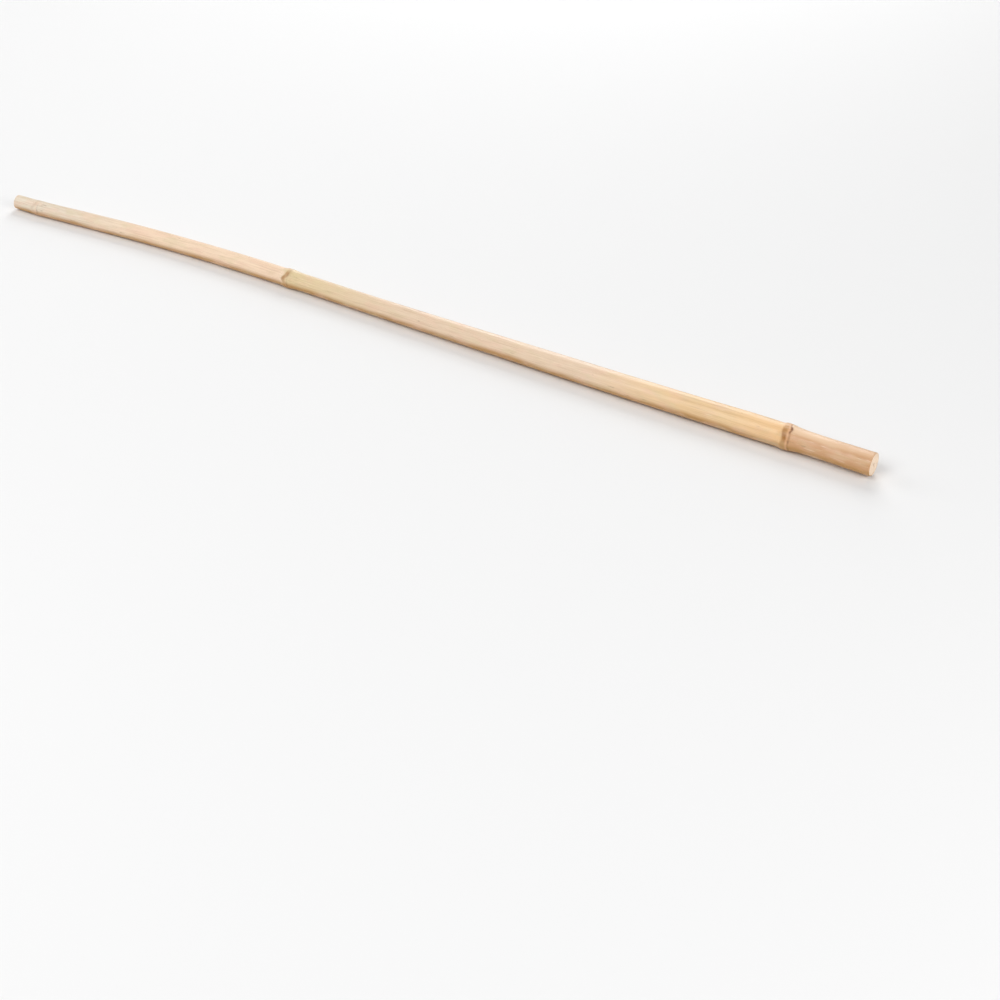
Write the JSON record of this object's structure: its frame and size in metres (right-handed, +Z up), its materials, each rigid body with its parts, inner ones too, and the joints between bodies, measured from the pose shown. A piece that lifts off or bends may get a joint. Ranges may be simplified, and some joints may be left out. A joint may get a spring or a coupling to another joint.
{
  "type": "bamboo cane",
  "caption": "Slim pale garden cane of natural bamboo, gently swaying and tapering, with raised nodes and square-sawn ends, lying on its side.",
  "frame": {"origin": "middle of the cane's bounding box in plan, on the surface that it lies on", "axes": "+X runs along the cane from the thin end to the thick end, +Z is up, and the cane sways towards +Y"},
  "size_m": [0.61, 0.0198, 0.0151],
  "materials": {
    "cane": "natural waxy bamboo skin, satin, unvarnished, with pale sawn ends"
  },
  "bodies": {
    "root": {"bamboo_cane": "cane"}
  },
  "joints": []
}
